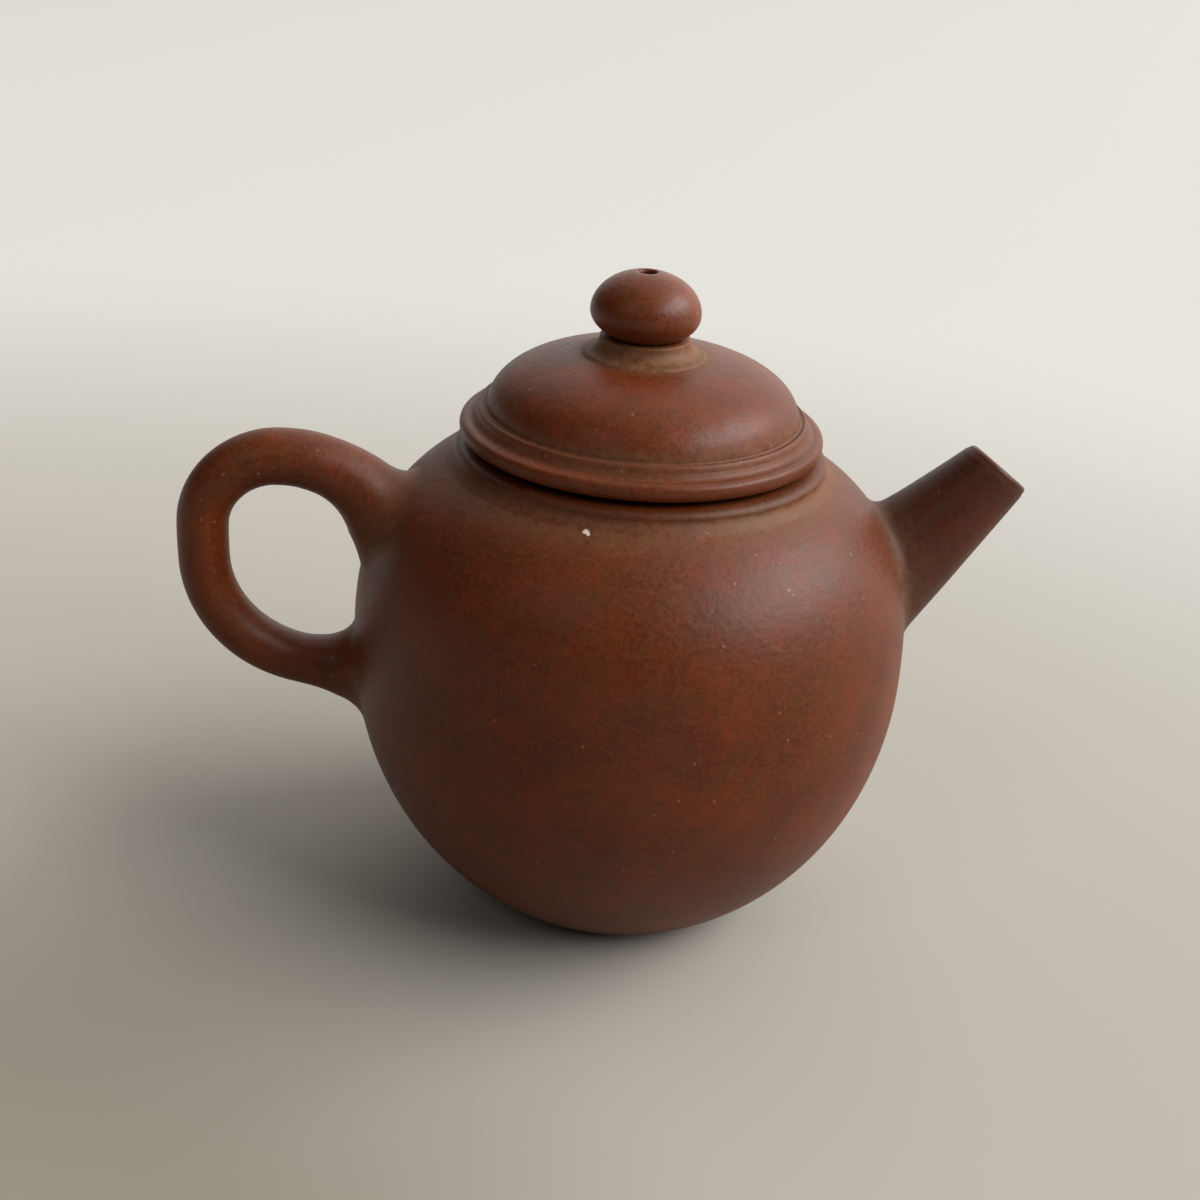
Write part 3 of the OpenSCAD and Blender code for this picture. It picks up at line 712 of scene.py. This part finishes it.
# ---------------------------------------------------------------- Knob
# A ball of clay pressed a little flat between two boards, luted to its collar and
# pierced by the steam hole. Fingers have polished it more than the rest.
knob_clay = zisha("zisha_stoneware_knob_polished", clay="#69270d", deep="#501d07", light="#803e1c",
                  olive="#4d290a", roughness=0.39, swell=0.05)
KNOB_R, KNOB_TOP, KNOB_LOW, KNOB_SEAT_R, KNOB_LEAN = 6.65, 4.9, 3.8, 4.1, -0.15
MID_H = KNOB_BASE_H + KNOB_LOW * math.sqrt(1 - (KNOB_SEAT_R / KNOB_R) ** 2)
seat_turn = math.acos(KNOB_SEAT_R / KNOB_R)
hole_turn = math.acos((HOLE_R + 0.45) / KNOB_R)
ball = turn(
    [(HOLE_R, KNOB_BASE_H), (KNOB_SEAT_R, KNOB_BASE_H)]
    + [(KNOB_R * math.cos(a), MID_H + KNOB_LOW * math.sin(a)) for a in between(-seat_turn, 0, 14)]
    + [(KNOB_R * math.cos(a), MID_H + KNOB_TOP * math.sin(a)) for a in between(0.06, hole_turn, 26)]
    + [(HOLE_R + 0.2, MID_H + KNOB_TOP - 0.12), (HOLE_R + 0.05, MID_H + KNOB_TOP - 0.3)]
    + [(HOLE_R, MID_H + KNOB_TOP - 0.6)], sides=128)
hand_made(ball, depth=0.07, size=6, seed=2.9)
set_lid(ball, 0)
for v in ball.verts:
    v.co.x += KNOB_LEAN * share(v.co.z, KNOB_BASE_H, KNOB_BASE_H + 3)
knob = settle("knob_ball", ball, "lid", ["knob"], knob_clay)
mark(knob, "dust", ring_of(KNOB_SEAT_R, KNOB_BASE_H, 40), reach=0.7, amount=0.8)
# Tea stain and painted shade inside the steam hole.
mark(knob, "stain_and_shade", ring_of(HOLE_R, MID_H + KNOB_TOP - 0.9, 24), reach=0.5, amount=0.95)


# ---------------------------------------------------------------- Studio
# A pale matt paper floor with painted shade: darker on the near left, painted where light falls off
# across a table, and painted darker again far under the lamp so that it doesn't clip. One wide soft
# window lamp stands high on the right, and the dim pale room is brighter behind the pot on the right
# than in front of it on the left.
PAINTED_SHADE_SPOT, LAMP_WAY, ROOM_WAY = (-0.10, -0.10, 0), (0.97, -0.25, 0), (0.72, 0.60, 0.35)
paper = bpy.data.materials.new("paper_matt_painted_shade")
paper.use_nodes = True
tree = paper.node_tree
tree.nodes.clear()
spot = add(tree, "TexCoord", {}).outputs["Object"]
# Painted shade: the paper darkens towards a spot on the near left of the pot.
away = add(tree, "VectorMath", {0: spot, 1: PAINTED_SHADE_SPOT}, operation="DISTANCE").outputs["Value"]
near = add(tree, "MapRange", {"Value": away, "From Min": 0.06, "From Max": 0.118},
           interpolation_type="SMOOTHSTEP").outputs["Result"]
shade = add(tree, "Mix", {"Factor": near, "A": linear("#8a8378"), "B": linear("#a8a39a")},
            data_type="RGBA").outputs["Result"]
far = add(tree, "MapRange", {"Value": away, "From Min": 0.17, "From Max": 0.42},
          interpolation_type="SMOOTHSTEP").outputs["Result"]
shade = add(tree, "Mix", {"Factor": far, "A": shade, "B": linear("#c8c7c2")},
            data_type="RGBA").outputs["Result"]
# Painted shade: the paper darkens far out towards the lamp.
toward = add(tree, "VectorMath", {0: spot, 1: LAMP_WAY}, operation="DOT_PRODUCT").outputs["Value"]
toward = add(tree, "MapRange", {"Value": toward, "From Min": 0.6, "From Max": 4.6}).outputs["Result"]
shade = add(tree, "Mix", {"Factor": toward, "A": shade, "B": linear("#6b6a66")},
            data_type="RGBA").outputs["Result"]
matt = add(tree, "BsdfDiffuse", {"Color": shade})
add(tree, "OutputMaterial", {"Surface": matt.outputs["BSDF"]})
sheet = bmesh.new()
bmesh.ops.create_grid(sheet, x_segments=8, y_segments=8, size=5)
mesh = bpy.data.meshes.new("paper_floor")
sheet.to_mesh(mesh)
sheet.free()
mesh.materials.append(paper)
floor = bpy.data.objects.new("paper_floor", mesh)
bpy.context.scene.collection.objects.link(floor)

world = bpy.data.worlds.new("pale_room")
bpy.context.scene.world = world
world.use_nodes = True
tree = world.node_tree
tree.nodes.clear()
look = add(tree, "TexCoord", {}).outputs["Generated"]
side = add(tree, "VectorMath", {0: look, 1: ROOM_WAY}, operation="DOT_PRODUCT").outputs["Value"]
room = add(tree, "MapRange", {"Value": side, "From Min": -0.10, "From Max": 0.95, "To Min": 0.05,
                              "To Max": 1.65}, interpolation_type="SMOOTHSTEP").outputs["Result"]
# The room lights the pot by its side, and the camera sees it as one plain pale tone.
glow = add(tree, "Background", {"Color": linear("#f4f2ee"), "Strength": room})
seen = add(tree, "Background", {"Color": linear("#dedcd4"), "Strength": 0.9})
straight = add(tree, "LightPath", {}).outputs["Is Camera Ray"]
both = add(tree, "MixShader", {0: straight, 1: glow.outputs["Background"], 2: seen.outputs["Background"]})
add(tree, "OutputWorld", {"Surface": both.outputs["Shader"]})

# A window of 8.7 by 3.9 m seen from 7.8 m away, and a small weak lamp for the pot's left front.
LAMP_AIM = Vector((0, 0, 0.04))
for name, at, wide, high, power in (("window_lamp", (5.94, -1.50, 4.80), 8.70, 3.90, 880.0),
                                    ("fill_lamp", (-0.36, -0.46, 0.58), 0.24, 0.24, 0.42)):
    lamp = bpy.data.lights.new(name, "AREA")
    lamp.shape, lamp.size, lamp.size_y, lamp.energy = "RECTANGLE", wide, high, power
    holder = bpy.data.objects.new(name, lamp)
    bpy.context.scene.collection.objects.link(holder)
    holder.location = at
    holder.rotation_euler = (LAMP_AIM - Vector(at)).to_track_quat("-Z", "Y").to_euler()

# A hand-held camera looks down on the pot's front by 25 degrees, rolled by 3. The pivot, a point on
# the pot's axis, falls 27 pixels right of and 45 below the middle of an image 1200 pixels wide.
EYE_TURN, EYE_RISE, EYE_ROLL = math.radians(-6), math.radians(25), math.radians(3)
PIVOT, PIVOT_PX, FRAME_PX, FOCAL_PX, PX_PER_M = Vector((0, 0, 0.0339)), (27, 45), 1200, 1800, 7730
back = Vector((math.sin(EYE_TURN) * math.cos(EYE_RISE), -math.cos(EYE_TURN) * math.cos(EYE_RISE),
               math.sin(EYE_RISE)))
level = (-back).cross(Vector((0, 0, 1))).normalized()
upright = level.cross(-back)
right = level * math.cos(EYE_ROLL) + upright * math.sin(EYE_ROLL)
up = upright * math.cos(EYE_ROLL) - level * math.sin(EYE_ROLL)
camera = bpy.data.objects.new("camera", bpy.data.cameras.new("camera"))
bpy.context.scene.collection.objects.link(camera)
SENSOR_W = 36
camera.data.sensor_width, camera.data.lens = SENSOR_W, SENSOR_W * FOCAL_PX / FRAME_PX
camera.data.clip_start = 0.01
eye = PIVOT + (back * FOCAL_PX - right * PIVOT_PX[0] + up * PIVOT_PX[1]) / PX_PER_M
camera.matrix_world = Matrix.Translation(eye) @ Matrix((right, up, back)).transposed().to_4x4()
bpy.context.scene.camera = camera
bpy.context.scene.view_settings.view_transform = "Standard"
